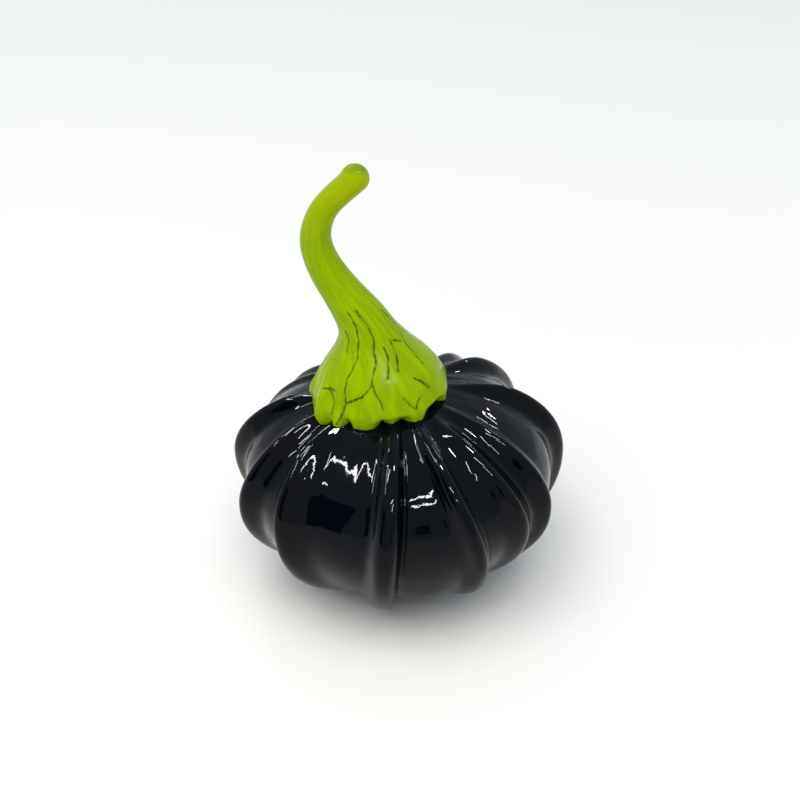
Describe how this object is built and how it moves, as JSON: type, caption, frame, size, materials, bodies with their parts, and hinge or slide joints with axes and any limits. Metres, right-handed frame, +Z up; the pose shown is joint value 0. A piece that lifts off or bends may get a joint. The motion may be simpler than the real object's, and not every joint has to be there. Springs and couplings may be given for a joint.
{
  "type": "blown glass mini pumpkin ornament",
  "caption": "Small ribbed pumpkin of black blown glass with a curling stem of lime glass, a table ornament that rests on a small flat spot.",
  "frame": {"origin": "middle of the flat spot that the pumpkin rests on, on the ribbed body's axis", "axes": "+Z up along the body's axis, towards the stem; -Y towards the viewer, the side that the picture shows, with the stem curling towards -X"},
  "size_m": [0.0805, 0.0801, 0.1048],
  "materials": {
    "black_glass": "fire-polished black glass, opaque",
    "lime_glass": "glossy lime glass, opaque, with thin dark streaks"
  },
  "bodies": {
    "root": {"body_glass": "black_glass", "stem_glass": "lime_glass"}
  },
  "joints": []
}
